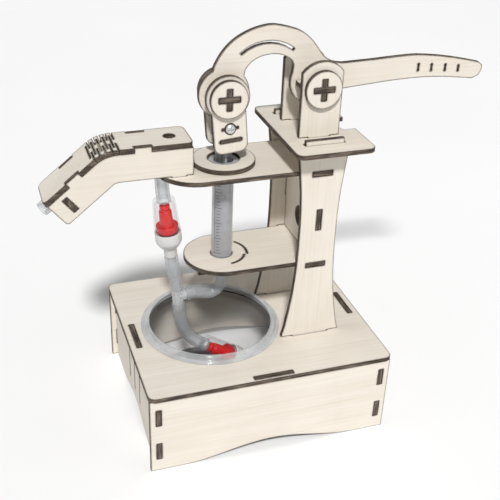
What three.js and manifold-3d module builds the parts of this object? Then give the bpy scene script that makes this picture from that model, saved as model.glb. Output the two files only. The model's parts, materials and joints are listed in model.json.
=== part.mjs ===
// Hand-lever water pump kit: laser-cut plywood frame, 5 ml syringe pump, two check valves.
// Millimetres, +Z up. The origin is on the floor, under the middle of the whole outline.
import * as THREE from 'three';
import { mergeVertices } from 'three/addons/utils/BufferGeometryUtils.js';
import Module from 'manifold-3d';

const wasm = await Module();
wasm.setup();

// ---------------------------------------------------------------- driving dimensions
const PLY = 3; // plywood sheet thickness
const GAP = 0.3; // clearance between pieces that touch
const RAD = Math.PI / 180;

// base box
const BASE = { length: 168, depth: 140, top: 61.6, cornerR: 5 };
const PANEL = { half: 83.5, outerY: 68, archHalf: 62, archRise: 8.5 };
const WALL = { outerX: 79.2, archHalf: 45, archRise: 8 };
const WALL_TABS = [[10.2, 22.6], [38.2, 50.4]]; // height ranges of the side wall tabs
const WALL_SLITS = { y: [-16, 0, 16], z: 34, half: 18, width: 1.2, relief: 0.9 };
const TOP_TAB = { front: 13.3, side: 13.8 }; // half lengths of the tabs into the top plate

// column and shelves
const COLUMN = { x: 39.9, outerY: 29, tab: 12.9 };
const COLUMN_WIDTHS = [ // height and half width up the waisted plates
  [61.9, 21.2], [70, 19.1], [83, 16.9], [96, 15], [110, 13.8], [121, 13.2], [134, 12.9],
  [150, 12.9], [160, 13.1], [171, 13.7], [184, 15], [193, 16], [200.8, 17],
];
const COLUMN_TOP = { z: 204.1, halfDepth: 42.9, left: 17.1, right: 68.9, cornerR: 5, proud: 3 };
const NOTCH = { left: 59.6, half: 9.8, cornerR: 3 }; // lets the lever swing down
const SHELF = { upper: 185.6, lower: 119, half: 25.7, right: 52, upperEndX: -35.3, tab: 6.6 };
const CROSS_TAB = [143.9, 158.3]; // height range of the cross plate's tabs
const CROSS_HOLE = { z: 139, r: 7.3 };

// syringe
const SYRINGE_X = -16.65;
const BARREL = { r: 7.03, bore: 6.2, bottom: 113, flangeR: 9.9, flangeT: 1.8 };
const TIP = { r: 2.6, bore: 1.2, bottom: 101 };
const COLLAR = { r: 20.4, hole: 10.3 };
const PLUNGER = { rib: 5.4, ribT: 1.4, ribTop: 201, neck: 2.6, thumbZ: 207.2, thumbR: 6.6, thumbT: 1.2 };
const SEAL = { r: 5.9, bottom: 119, height: 6.4 };

// lever and its two pivots
const FULCRUM = { x: 40.4, z: 235.6, hubR: 15.2, wing: 12.2 };
const PIN = { x: -17.6, z: 231.9, hubR: 16.3 };
const CROSS = { half: 6.6, slotHalf: 6.9, bearing: 7.1, wingY: [3, 11] }; // plus-shaped axle made of two strips
const CAP_R = 12;
const EAR = { half: 13.5, r: 17, innerY: 14, tab: 7.2 };
const CLEVIS = { headR: 14, half: 10.9, drop: 36, cornerR: 5.5, innerY: 7, tilt: -5 * RAD };
const CLEVIS_SLOT = { drop: 27.6, half: 7.5, height: 2.4, relief: 1.3 };
// the strip in the clevis slots, which lifts the thumb disc
const CLEVIS_STRIP = { half: 6.6, thick: 1.8, endY: 9.8, windowX: [-5.5, 2.5], windowY: 6.2 };
const SCREW = { drop: 19.7, r: 1.45, headR: 3, headT: 1.8, slotHalf: 5.4, slotHeight: 1.6 };

// spout box: a flat part and a part that slopes down to the nozzle
const SPOUT = { right: -39.8, bendX: -87, top: 207.4, bend: 39 * RAD, bendR: 24, sloped: 39.4 };
const SPOUT_Y = { inner: 10.4, outer: 13.4, strip: 13.7 };
const SPOUT_DEPTH = 21.2; // from the strip's upper face to the side plates' lower edge
const SPOUT_TABS = { flat: [-76.4, -65.8], sloped: [11, 21], shelf: [-53.8, -44.6] };
const SPOUT_HOLE = { x: -52, r: 3.7 };
const BULKHEAD = { at: 28.2, tabFrom: 6.9, tabTo: 17.1 };
const SLITS = { rows: 10, first: -1.2, pitch: 1.95, width: 0.8, bridge: 2.6, middle: 9.4 };

// water bowl
const BOWL = { x: -23.7, y: 1, rimR: 48.7, lipR: 42.4, lip: 5.2, wall: 1.5, floorR: 36, floor: 13, hole: 46.5 };

// hoses, tee and valves
const HOSE = { r: 4.6, bore: 3.2, sides: 10 };
const TEE = { x: -47.4, z: 89.6, lean: -5 * RAD, r: 3.9, barb: 2.85, bore: 1.7, arm: 12.5, shoulder: 5.6 };
const DELIVERY = { x: -52.5, z: 130, lean: -5.9 * RAD }; // foot of the valve cup, and its lean
const SUCTION = { x: 0.4, z: 24.6, lean: -55 * RAD };
const VALVE = { barb: -12, collar: -8, cupTop: 11, housingTop: 35, hoseEnd: 33 }; // along its axis
const NOZZLE = { depth: 8, proud: 6.2 };

// ---------------------------------------------------------------- materials
const finish = (color, roughness, extra = {}) =>
  new THREE.MeshStandardMaterial({ color, roughness, metalness: 0, ...extra });
const plywood = finish('#e6dcc8', 0.75);
const clearPlastic = finish('#cfd4d8', 0.2, { transparent: true, opacity: 0.45 });
const hosePlastic = finish('#c9ced2', 0.3, { transparent: true, opacity: 0.6 });
const redPlastic = finish('#d8251c', 0.35);
const whitePlastic = finish('#e9e9e6', 0.4);
const blackRubber = finish('#1b1b1c', 0.7);
const steel = finish('#a7a9ac', 0.35, { metalness: 0.9 });

// ---------------------------------------------------------------- outlines
// Points along an arc, both ends included, in steps of about `step` degrees.
function arc(x, y, r, from, to, step = 12) {
  const count = Math.max(2, Math.ceil(Math.abs(to - from) / (step * RAD)));
  return Array.from({ length: count + 1 }, (_, i) => {
    const angle = from + (to - from) * i / count;
    return [x + r * Math.cos(angle), y + r * Math.sin(angle)];
  });
}

function circle(x, y, r, step = 12) {
  return arc(x, y, r, 0, 2 * Math.PI, step).slice(0, -1);
}

// A smooth curve through the points, with `per` steps between neighbours.
function smooth(points, per = 3) {
  const curve = new THREE.SplineCurve(points.map(([x, y]) => new THREE.Vector2(x, y)));
  return curve.getPoints(per * (points.length - 1)).map((p) => [p.x, p.y]);
}

function rectangle(x0, y0, x1, y1) {
  return [[x0, y0], [x1, y0], [x1, y1], [x0, y1]];
}

function roundedBox(x0, y0, x1, y1, r) {
  return [
    ...arc(x1 - r, y1 - r, r, 0, Math.PI / 2, 15),
    ...arc(x0 + r, y1 - r, r, Math.PI / 2, Math.PI, 15),
    ...arc(x0 + r, y0 + r, r, Math.PI, 1.5 * Math.PI, 15),
    ...arc(x1 - r, y0 + r, r, 1.5 * Math.PI, 2 * Math.PI, 15),
  ];
}

// A plus-shaped hole for the two crossed axle strips.
function plus(x, y) {
  const a = CROSS.slotHalf;
  const b = PLY / 2 + GAP;
  return [[a, b], [b, b], [b, a], [-b, a], [-b, b], [-a, b], [-a, -b], [-b, -b], [-b, -a], [b, -a],
    [b, -b], [a, -b]].map(([u, v]) => [x + u, y + v]);
}

// An upright slit with a small round relief at each end.
function reliefSlit(x, y, half, width, relief) {
  const angle = Math.asin(Math.min(1, width / 2 / relief));
  return [
    ...arc(x, y - half, relief, Math.PI / 2 + angle, 2.5 * Math.PI - angle, 36),
    ...arc(x, y + half, relief, -Math.PI / 2 + angle, 1.5 * Math.PI - angle, 36),
  ];
}

const turned = (points) => points.map(([x, y]) => [y, x]).reverse();

// A slit along an arc about (x, y), with square ends.
function arcSlit(x, y, r, width, from, to) {
  return [...arc(x, y, r + width / 2, from, to), ...arc(x, y, r - width / 2, to, from)];
}

// ---------------------------------------------------------------- solids
function toSolid(geometry) {
  const plain = geometry.clone();
  plain.deleteAttribute('normal');
  plain.deleteAttribute('uv');
  const merged = mergeVertices(plain, 1e-4);
  const vertProperties = new Float32Array(merged.attributes.position.array);
  const triVerts = new Uint32Array(merged.index.array);
  return new wasm.Manifold(new wasm.Mesh({ numProp: 3, vertProperties, triVerts }));
}

function toGeometry(solid) {
  const mesh = solid.getMesh();
  const geometry = new THREE.BufferGeometry();
  geometry.setAttribute('position', new THREE.BufferAttribute(new Float32Array(mesh.vertProperties), 3));
  geometry.setIndex(new THREE.BufferAttribute(new Uint32Array(mesh.triVerts), 1));
  return geometry;
}

function extrude(points, depth) {
  const shape = new THREE.Shape(points.map(([x, y]) => new THREE.Vector2(x, y)));
  return new THREE.ExtrudeGeometry(shape, { depth, bevelEnabled: false });
}

// A flat sheet from its outline, with each hole cut right through.
function sheet(outline, holes = [], depth = PLY) {
  const body = toSolid(extrude(outline, depth));
  return toGeometry(holes.reduce(
    (solid, hole) => solid.subtract(toSolid(extrude(hole, depth + 2).translate(0, 0, -1))), body));
}

// A solid of revolution about Z from its closed profile of [radius, height] points.
function revolve(profile, segments = 32) {
  const points = [...profile, profile[0]].map(([r, z]) => new THREE.Vector2(r, z));
  return new THREE.LatheGeometry(points, segments).rotateX(Math.PI / 2);
}

function cylinder(r, z0, z1, segments = 24) {
  const geometry = new THREE.CylinderGeometry(r, r, z1 - z0, segments);
  return geometry.rotateX(Math.PI / 2).translate(0, 0, (z0 + z1) / 2);
}

function box(x0, y0, z0, x1, y1, z1) {
  const geometry = new THREE.BoxGeometry(x1 - x0, y1 - y0, z1 - z0);
  return geometry.translate((x0 + x1) / 2, (y0 + y1) / 2, (z0 + z1) / 2);
}

// ---------------------------------------------------------------- placing pieces
const model = new THREE.Group();
model.name = 'hand_lever_water_pump';

function addMesh(parent, name, geometry, material) {
  const mesh = new THREE.Mesh(geometry, material);
  mesh.name = name;
  parent.add(mesh);
  return mesh;
}

function addGroup(x, z, turn = 0) {
  const group = new THREE.Group();
  group.position.set(x, 0, z);
  group.rotation.y = turn;
  model.add(group);
  return group;
}

// A sheet lying flat, its lower face at height z.
function flatSheet(name, geometry, z) {
  addMesh(model, name, geometry, plywood).position.z = z;
}

// A sheet facing the front, drawn in X and Z, its front face at y.
function frontSheet(parent, name, geometry, y) {
  const mesh = addMesh(parent, name, geometry, plywood);
  mesh.rotation.x = Math.PI / 2;
  mesh.position.y = y + PLY;
}

// A sheet facing the side, drawn in Y and Z, its left face at x.
function sideSheet(parent, name, geometry, x) {
  const mesh = addMesh(parent, name, geometry, plywood);
  const basis = new THREE.Matrix4().makeBasis(
    new THREE.Vector3(0, 1, 0), new THREE.Vector3(0, 0, 1), new THREE.Vector3(1, 0, 0));
  mesh.quaternion.setFromRotationMatrix(basis);
  mesh.position.x = x;
}

// ---------------------------------------------------------------- base box
// The lower edge of a panel, left to right: two flat feet and a smooth rise between them.
function archedEdge(half, rise) {
  return Array.from({ length: 17 }, (_, i) => {
    const t = -1 + i / 8;
    return [t * half, rise * (1 + Math.cos(Math.PI * t)) / 2];
  });
}

function baseTopPlate() {
  const { length, depth, cornerR, top } = BASE;
  const holes = [circle(BOWL.x, BOWL.y, BOWL.hole, 7.5)];
  for (const side of [-1, 1]) {
    const y = side * (PANEL.outerY - PLY / 2);
    const x = side * (WALL.outerX - PLY / 2);
    const foot = side * (COLUMN.outerY - PLY / 2);
    const half = PLY / 2 + GAP;
    holes.push(rectangle(-TOP_TAB.front - GAP, y - half, TOP_TAB.front + GAP, y + half));
    holes.push(rectangle(x - half, -TOP_TAB.side - GAP, x + half, TOP_TAB.side + GAP));
    const reach = COLUMN.tab + GAP;
    holes.push(rectangle(COLUMN.x - reach, foot - half, COLUMN.x + reach, foot + half));
  }
  const outline = roundedBox(-length / 2, -depth / 2, length / 2, depth / 2, cornerR);
  flatSheet('base_top_plate', sheet(outline, holes), top - PLY);
}

function basePanel(name, y) {
  const under = BASE.top - PLY - GAP;
  const { half, archHalf, archRise } = PANEL;
  const outline = [
    [-half, 0], ...archedEdge(archHalf, archRise), [half, 0], [half, under], [TOP_TAB.front, under],
    [TOP_TAB.front, BASE.top], [-TOP_TAB.front, BASE.top], [-TOP_TAB.front, under], [-half, under],
  ];
  const holes = [];
  for (const [low, high] of WALL_TABS) {
    for (const x of [-WALL.outerX, WALL.outerX - PLY]) {
      holes.push(rectangle(x - GAP, low - GAP, x + PLY + GAP, high + GAP));
    }
  }
  frontSheet(model, name, sheet(outline, holes), y);
}

function baseWall(name, x) {
  const under = BASE.top - PLY - GAP;
  const body = PANEL.outerY - PLY - GAP;
  const tabEdge = ([low, high]) => [[body, low], [PANEL.outerY, low], [PANEL.outerY, high], [body, high]];
  const rightSide = [[body, 0], ...WALL_TABS.flatMap(tabEdge), [body, under], [TOP_TAB.side, under],
    [TOP_TAB.side, BASE.top]];
  const leftSide = rightSide.map(([y, z]) => [-y, z]).reverse();
  const outline = [...archedEdge(WALL.archHalf, WALL.archRise), ...rightSide, ...leftSide];
  const { y: rows, z, half, width, relief } = WALL_SLITS;
  sideSheet(model, name, sheet(outline, rows.map((y) => reliefSlit(y, z, half, width, relief))), x);
}

function waterBowl() {
  const { x, y, rimR, lipR, lip, wall, floorR, floor } = BOWL;
  const under = BASE.top + GAP;
  const top = BASE.top + lip;
  const outer = lipR + wall;
  const profile = [
    [0, floor - wall], [floorR - 2, floor - wall], [floorR + wall, floor + 1.5], [outer - 1, BASE.top - 7],
    [outer, BASE.top - 5], [outer, under], [rimR, under], [rimR, under + 1.2], [rimR - 1, under + 2.4],
    [lipR + 3.4, top - 0.2], [lipR + 2, top], [lipR + 0.6, top - 0.5], [lipR, top - 1.5],
    [lipR, BASE.top - 5], [lipR - 1, BASE.top - 6.4], [floorR, floor + 2], [floorR - 2.5, floor], [0, floor],
  ];
  const mesh = addMesh(model, 'water_bowl', revolve(profile, 36), clearPlastic);
  mesh.position.set(x, y, 0);
}

baseTopPlate();
basePanel('base_front_panel', -PANEL.outerY);
basePanel('base_back_panel', PANEL.outerY - PLY);
baseWall('base_left_wall', -WALL.outerX);
baseWall('base_right_wall', WALL.outerX - PLY);
waterBowl();

// ---------------------------------------------------------------- column and shelves
function columnPlate(name, y) {
  const { x, tab } = COLUMN;
  const foot = COLUMN_WIDTHS[0][0];
  const head = COLUMN_WIDTHS.at(-1)[0];
  const top = COLUMN_TOP.z + COLUMN_TOP.proud;
  const bottom = BASE.top - PLY;
  const right = [
    [tab, bottom], [tab, foot], ...COLUMN_WIDTHS.map(([z, half]) => [half, z]), [tab, head], [tab, top],
  ];
  const left = right.map(([half, z]) => [-half, z]).reverse();
  const outline = [...right, ...left].map(([half, z]) => [x + half, z]);
  const shelfTab = (z) => rectangle(x - SHELF.tab - GAP, z - PLY - GAP, x + SHELF.tab + GAP, z + GAP);
  const half = PLY / 2 + GAP;
  const holes = [
    shelfTab(SHELF.upper), shelfTab(SHELF.lower),
    rectangle(x - half, CROSS_TAB[0] - GAP, x + half, CROSS_TAB[1] + GAP),
  ];
  frontSheet(model, name, sheet(outline, holes), y);
}

function crossPlate() {
  const low = SHELF.lower + GAP;
  const high = SHELF.upper - PLY - GAP;
  const { half } = SHELF;
  const reach = COLUMN.outerY;
  const outline = [
    [-half, low], [half, low], [half, CROSS_TAB[0]], [reach, CROSS_TAB[0]], [reach, CROSS_TAB[1]],
    [half, CROSS_TAB[1]], [half, high], [-half, high], [-half, CROSS_TAB[1]], [-reach, CROSS_TAB[1]],
    [-reach, CROSS_TAB[0]], [-half, CROSS_TAB[0]],
  ];
  const hole = circle(0, CROSS_HOLE.z, CROSS_HOLE.r);
  sideSheet(model, 'column_cross_plate', sheet(outline, [hole]), COLUMN.x - PLY / 2);
}

// The shelves' common outline, left to right and back: a tab into each column plate.
function shelfEdge(endX) {
  const { half, right, tab } = SHELF;
  const lower = [[endX, -half], [COLUMN.x - tab, -half], [COLUMN.x - tab, -COLUMN.outerY],
    [COLUMN.x + tab, -COLUMN.outerY], [COLUMN.x + tab, -half], [right, -half]];
  return [...lower, ...lower.map(([x, y]) => [x, -y]).reverse()];
}

function lowerShelf() {
  const { half } = SHELF;
  const end = arc(SYRINGE_X, 0, half, Math.PI / 2, 1.5 * Math.PI, 9).slice(1, -1);
  const holes = [
    circle(SYRINGE_X, 0, BARREL.r + GAP),
    arcSlit(SYRINGE_X, 0, 17.3, 1.1, 43 * RAD, -21 * RAD),
    arcSlit(SYRINGE_X, 0, 15.6, 1.1, -23 * RAD, -81 * RAD),
  ];
  flatSheet('lower_shelf', sheet([...shelfEdge(SYRINGE_X), ...end], holes), SHELF.lower - PLY);
}

function upperShelf() {
  const { half, upper, upperEndX } = SHELF;
  const notchX = -56.8;
  const notchR = HOSE.r + 2 * GAP;
  const mouth = Math.asin(notchR / half);
  const end = [
    ...arc(upperEndX, 0, half, Math.PI / 2, Math.PI - mouth, 9).slice(1),
    ...arc(notchX, 0, notchR, Math.PI / 2, -Math.PI / 2, 15),
    ...arc(upperEndX, 0, half, Math.PI + mouth, 1.5 * Math.PI, 9).slice(0, -1),
  ];
  const [x0, x1] = SPOUT_TABS.shelf;
  const holes = [
    circle(SYRINGE_X, 0, BARREL.r + GAP),
    rectangle(x0 - GAP, -SPOUT_Y.outer - GAP, x1 + GAP, -SPOUT_Y.inner + GAP),
    rectangle(x0 - GAP, SPOUT_Y.inner - GAP, x1 + GAP, SPOUT_Y.outer + GAP),
  ];
  flatSheet('upper_shelf', sheet([...shelfEdge(upperEndX), ...end], holes), upper - PLY);
}

function columnTopPlate() {
  const { left, right, halfDepth, cornerR, z } = COLUMN_TOP;
  const inner = NOTCH.half - NOTCH.cornerR;
  const notch = [
    [right + 1, -NOTCH.half], [right + 1, NOTCH.half],
    ...arc(NOTCH.left + NOTCH.cornerR, inner, NOTCH.cornerR, Math.PI / 2, Math.PI, 30),
    ...arc(NOTCH.left + NOTCH.cornerR, -inner, NOTCH.cornerR, Math.PI, 1.5 * Math.PI, 30),
  ];
  const holes = [notch];
  for (const side of [-1, 1]) {
    const half = PLY / 2 + GAP;
    const plate = side * (COLUMN.outerY - PLY / 2);
    const earY = side * (EAR.innerY + PLY / 2);
    const reach = COLUMN.tab + GAP;
    holes.push(rectangle(COLUMN.x - reach, plate - half, COLUMN.x + reach, plate + half));
    holes.push(rectangle(FULCRUM.x - EAR.tab - GAP, earY - half, FULCRUM.x + EAR.tab + GAP, earY + half));
  }
  const plan = roundedBox(left, -halfDepth, right, halfDepth, cornerR);
  flatSheet('column_top_plate', sheet(plan, holes), z - PLY);
}

function ear(name, y) {
  const { half, r, tab } = EAR;
  const { x, z } = FULCRUM;
  const foot = COLUMN_TOP.z + GAP;
  const shoulder = Math.acos(half / r);
  const outline = [
    [x - half, foot], [x - tab, foot], [x - tab, foot - PLY], [x + tab, foot - PLY], [x + tab, foot],
    [x + half, foot], ...arc(x, z, r, shoulder, Math.PI - shoulder, 10),
  ];
  frontSheet(model, name, sheet(outline, [circle(x, z, CROSS.bearing)]), y);
}

columnPlate('column_front_plate', -COLUMN.outerY);
columnPlate('column_back_plate', COLUMN.outerY - PLY);
crossPlate();
lowerShelf();
upperShelf();
columnTopPlate();
ear('front_ear', -EAR.innerY - PLY);
ear('back_ear', EAR.innerY);

// ---------------------------------------------------------------- syringe
function syringe() {
  const group = addGroup(SYRINGE_X, 0);
  const { r, bore, bottom, flangeR, flangeT } = BARREL;
  const seatZ = SHELF.upper + GAP;
  addMesh(group, 'syringe_barrel', revolve([
    [TIP.bore, TIP.bottom], [TIP.r - 0.3, TIP.bottom], [TIP.r, bottom], [r - 1, bottom + 0.4],
    [r, bottom + 1.4], [r, seatZ], [flangeR, seatZ], [flangeR, seatZ + flangeT], [bore, seatZ + flangeT],
    [bore, bottom + 2.2], [bore - 1, bottom + 1.4], [TIP.bore, bottom + 1.2],
  ], 24), clearPlastic);

  const collar = sheet(circle(0, 0, COLLAR.r, 9), [circle(0, 0, COLLAR.hole, 12)]);
  addMesh(group, 'syringe_collar_ring', collar, plywood).position.z = seatZ;

  const { rib, ribT, ribTop, neck, thumbZ, thumbR, thumbT } = PLUNGER;
  const ribFrom = SEAL.bottom + SEAL.height + GAP;
  const rod = [
    box(-rib, -ribT / 2, ribFrom, rib, ribT / 2, ribTop),
    box(-ribT / 2, -rib, ribFrom, ribT / 2, rib, ribTop),
    box(-neck, -ribT / 2, ribTop - 1, neck, ribT / 2, thumbZ),
    box(-ribT / 2, -neck, ribTop - 1, ribT / 2, neck, thumbZ),
    cylinder(rib, ribFrom, ribFrom + 1.4, 16),
    cylinder(rib, ribFrom + 5, ribFrom + 6.2, 16),
    cylinder(thumbR, thumbZ - thumbT / 2, thumbZ + thumbT / 2, 24),
  ].map(toSolid).reduce((whole, next) => whole.add(next));
  addMesh(group, 'plunger_rod', toGeometry(rod), clearPlastic);

  const z = SEAL.bottom;
  addMesh(group, 'plunger_seal', revolve([
    [0, z], [1.5, z], [SEAL.r - 0.4, z + 1.3], [SEAL.r, z + 1.8], [SEAL.r, z + 2.6], [SEAL.r - 0.7, z + 3.2],
    [SEAL.r - 0.7, z + 4.6], [SEAL.r, z + 5.2], [SEAL.r, z + SEAL.height], [0, z + SEAL.height],
  ], 16), blackRubber);
}

syringe();

// ---------------------------------------------------------------- lever, axles and caps
// The two strips of a plus-shaped axle are halved into each other at the middle.
function crossAxle(parent, prefix, reach, wing = CROSS.half) {
  const { half, wingY: [near, far] } = CROSS;
  const notch = PLY / 2 + GAP;
  const upright = [[-reach, -half], [reach, -half], [reach, half], [-reach, half], [-reach, notch],
    [GAP, notch], [GAP, -notch], [-reach, -notch]];
  sideSheet(parent, `${prefix}_axle_upright`, sheet(upright), -PLY / 2);
  const wings = wing > half ? [[half, -far], [wing, -far], [wing, -near], [half, -near]] : [];
  const mirrored = wings.map(([x, y]) => [-x, y]).reverse();
  const level = [[-half, -reach], [half, -reach], ...wings, [half, reach], [notch, reach], [notch, -GAP],
    [-notch, -GAP], [-notch, reach], [-half, reach], ...mirrored];
  addMesh(parent, `${prefix}_axle_level`, sheet(level), plywood).position.z = -PLY / 2;
}

// A cap on each end of an axle, the inner faces `inner` from the middle.
function capPair(parent, prefix, inner) {
  const disc = () => sheet(circle(0, 0, CAP_R, 10), [plus(0, 0)]);
  frontSheet(parent, `${prefix}_cap_front`, disc(), -inner - PLY);
  frontSheet(parent, `${prefix}_cap_back`, disc(), inner);
}

// The lever's outline, clockwise from the pin hub: arch, handle, fulcrum hub, inside of the arch.
function leverPlate() {
  const archOuter = smooth([[-24.7, 246.5], [-23.7, 250.2], [-18.8, 258.1], [-12.2, 264.5], [-3.9, 269.1],
    [4.5, 271.7], [13.8, 272.4], [28.4, 268.5], [36.4, 263.4], [41.9, 257.2], [46.5, 251.2], [53, 246.8],
    [60, 245.4]]);
  const handleTop = smooth([[80.6, 245.9], [105, 246.9], [118.9, 246.1], [137.9, 243.2], [158, 238.6]], 2);
  const handleEnd = smooth([[160.6, 236.6], [161, 233.9], [158.8, 229.3], [153.9, 227.7]], 2);
  const handleUnder = smooth([[133.7, 230.3], [117.2, 231.3], [97.8, 231], [78, 229.7], [60, 228.4]], 2);
  const hub = arc(FULCRUM.x, FULCRUM.z, FULCRUM.hubR, -33 * RAD, -203 * RAD);
  const archInner = smooth([[26.9, 246.6], [25, 250], [19.2, 253.3], [12.5, 254.3], [5.3, 253.3],
    [-0.5, 250.3], [-4.2, 246]]);
  const pinHub = arc(PIN.x, PIN.z, PIN.hubR, 39 * RAD, -241 * RAD);
  const outline = [...archOuter, ...handleTop, ...handleEnd, ...handleUnder, ...hub, ...archInner, ...pinHub];
  const handleSlits = [[113.4, 238.3, 1.9], [123, 237.5, 1.8], [133.1, 236.7, 1.7], [142.9, 235.5, 1.5]];
  const holes = [
    plus(FULCRUM.x, FULCRUM.z), plus(PIN.x, PIN.z), arcSlit(9.8, 234.8, 27.2, 1.5, 130 * RAD, 52 * RAD),
    ...handleSlits.map(([x, z, half]) => reliefSlit(x, z, half, 1, 0.85)),
  ];
  return sheet(outline.map(([x, z]) => [x - FULCRUM.x, z - FULCRUM.z]),
    holes.map((hole) => hole.map(([x, z]) => [x - FULCRUM.x, z - FULCRUM.z])));
}

const lever = addGroup(FULCRUM.x, FULCRUM.z);
const earOuter = EAR.innerY + PLY + GAP;
frontSheet(lever, 'lever', leverPlate(), -PLY / 2);
crossAxle(lever, 'fulcrum', earOuter + PLY - 0.1, FULCRUM.wing);
capPair(lever, 'fulcrum', earOuter);

const pin = addGroup(PIN.x, PIN.z);
const clevisOuter = CLEVIS.innerY + PLY + GAP;
crossAxle(pin, 'pin', clevisOuter + PLY - 0.1);
capPair(pin, 'pin', clevisOuter);

// ---------------------------------------------------------------- clevis
function clevisPlate() {
  const { headR, half, drop, cornerR } = CLEVIS;
  const neck = Math.acos(half / headR);
  const outline = [
    ...arc(0, 0, headR, -neck, Math.PI + neck),
    ...arc(-half + cornerR, -drop + cornerR, cornerR, Math.PI, 1.5 * Math.PI, 18),
    ...arc(half - cornerR, -drop + cornerR, cornerR, 1.5 * Math.PI, 2 * Math.PI, 18),
  ];
  const slot = CLEVIS_SLOT;
  const thumbSlot = turned(reliefSlit(-slot.drop, 0, slot.half - slot.relief, slot.height, slot.relief));
  const thin = SCREW.slotHeight / 2;
  const holes = [
    circle(0, 0, CROSS.bearing), thumbSlot, circle(0, -SCREW.drop, SCREW.r + GAP, 20),
    rectangle(-SCREW.slotHalf, -SCREW.drop - thin, SCREW.slotHalf, -SCREW.drop + thin),
  ];
  return sheet(outline, holes);
}

function clevisScrew(parent) {
  const { r, headR, headT, drop } = SCREW;
  const shank = clevisOuter + 2.6;
  const body = toSolid(revolve([
    [0, -shank], [r, -shank], [r, clevisOuter], [headR, clevisOuter], [headR, clevisOuter + headT * 0.5],
    [headR * 0.7, clevisOuter + headT], [0, clevisOuter + headT],
  ], 16));
  const blade = clevisOuter + headT - 0.8;
  const drive = toSolid(box(-1.9, -0.35, blade, 1.9, 0.35, blade + 2))
    .add(toSolid(box(-0.35, -1.9, blade, 0.35, 1.9, blade + 2)));
  const screw = addMesh(parent, 'clevis_screw', toGeometry(body.subtract(drive)), steel);
  screw.rotation.x = Math.PI / 2;
  screw.position.z = -drop;
  const hexagon = sheet(circle(0, 0, 3.1, 60), [circle(0, 0, r + GAP, 20)], 2.2);
  const nut = addMesh(parent, 'clevis_nut', hexagon, steel);
  nut.rotation.x = Math.PI / 2;
  nut.position.set(0, clevisOuter + 2.2, -drop);
}

const clevis = addGroup(PIN.x, PIN.z, CLEVIS.tilt);
frontSheet(clevis, 'clevis_front_plate', clevisPlate(), -CLEVIS.innerY - PLY);
frontSheet(clevis, 'clevis_back_plate', clevisPlate(), CLEVIS.innerY);
clevisScrew(clevis);

// The strip in both lower slots, with a window for the plunger rod.
function clevisStrip(parent) {
  const { half, thick, endY, windowX: [from, to], windowY } = CLEVIS_STRIP;
  const outline = [[-half, -endY], [half, -endY], [half, endY], [-half, endY]];
  const strip = sheet(outline, [rectangle(from, -windowY, to, windowY)], thick);
  addMesh(parent, 'clevis_strip', strip, plywood).position.z = -CLEVIS_SLOT.drop - thick / 2;
}

clevisStrip(clevis);

// ---------------------------------------------------------------- spout box
const bendZ = SPOUT.top - SPOUT.bendR; // height of the bend's centre, at x = SPOUT.bendX

// A point of the sloped part, `along` it from the bend and `deep` below the strip's upper face.
function slopedPoint(along, deep) {
  const out = SPOUT.bendR - deep;
  const c = Math.cos(SPOUT.bend);
  const s = Math.sin(SPOUT.bend);
  return [SPOUT.bendX - out * s - along * c, bendZ + out * c - along * s];
}

// A point of the bend, `turn` radians into it.
function bendPoint(turn, deep) {
  const out = SPOUT.bendR - deep;
  return [SPOUT.bendX - out * Math.sin(turn), bendZ + out * Math.cos(turn)];
}

function spoutSide() {
  const deep = PLY + GAP;
  const floor = SHELF.upper + GAP;
  const end = SPOUT.sloped - 0.6;
  const [s0, s1] = SPOUT_TABS.shelf;
  const [f0, f1] = SPOUT_TABS.flat;
  const [t0, t1] = SPOUT_TABS.sloped;
  const outline = [
    slopedPoint(end, deep), slopedPoint(end, SPOUT_DEPTH - 2), slopedPoint(end - 0.6, SPOUT_DEPTH - 0.6),
    slopedPoint(end - 2, SPOUT_DEPTH), slopedPoint(0.6, SPOUT_DEPTH), [SPOUT.bendX + 0.6, floor],
    [s0, floor], [s0, SHELF.upper - PLY], [s1, SHELF.upper - PLY], [s1, floor], [SPOUT.right, floor],
    [SPOUT.right, SPOUT.top - deep], [f1, SPOUT.top - deep], [f1, SPOUT.top], [f0, SPOUT.top],
    [f0, SPOUT.top - deep],
    ...arc(SPOUT.bendX, bendZ, SPOUT.bendR - deep, Math.PI / 2, Math.PI / 2 + SPOUT.bend, 6),
    slopedPoint(t0, deep), slopedPoint(t0, 0), slopedPoint(t1, 0), slopedPoint(t1, deep),
  ];
  const half = PLY / 2 + GAP;
  const { at, tabFrom, tabTo } = BULKHEAD;
  const slot = [slopedPoint(at - half, tabFrom - GAP), slopedPoint(at + half, tabFrom - GAP),
    slopedPoint(at + half, tabTo + GAP), slopedPoint(at - half, tabTo + GAP)];
  return sheet(outline, [slot]);
}

// A box that stands square on the strip at `distance` past the start of the bend.
function stripCutter(distance, halfAlong, y0, y1) {
  const turn = Math.min(Math.max(distance / SPOUT.bendR, 0), SPOUT.bend);
  const beyond = Math.max(distance - SPOUT.bend * SPOUT.bendR, 0) + Math.min(distance, 0);
  const x = SPOUT.bendX - SPOUT.bendR * Math.sin(turn) - beyond * Math.cos(turn);
  const z = bendZ + SPOUT.bendR * Math.cos(turn) - beyond * Math.sin(turn);
  return toSolid(box(-halfAlong, y0, -PLY - 1, halfAlong, y1, 1).rotateY(-turn).translate(x, 0, z));
}

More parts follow.
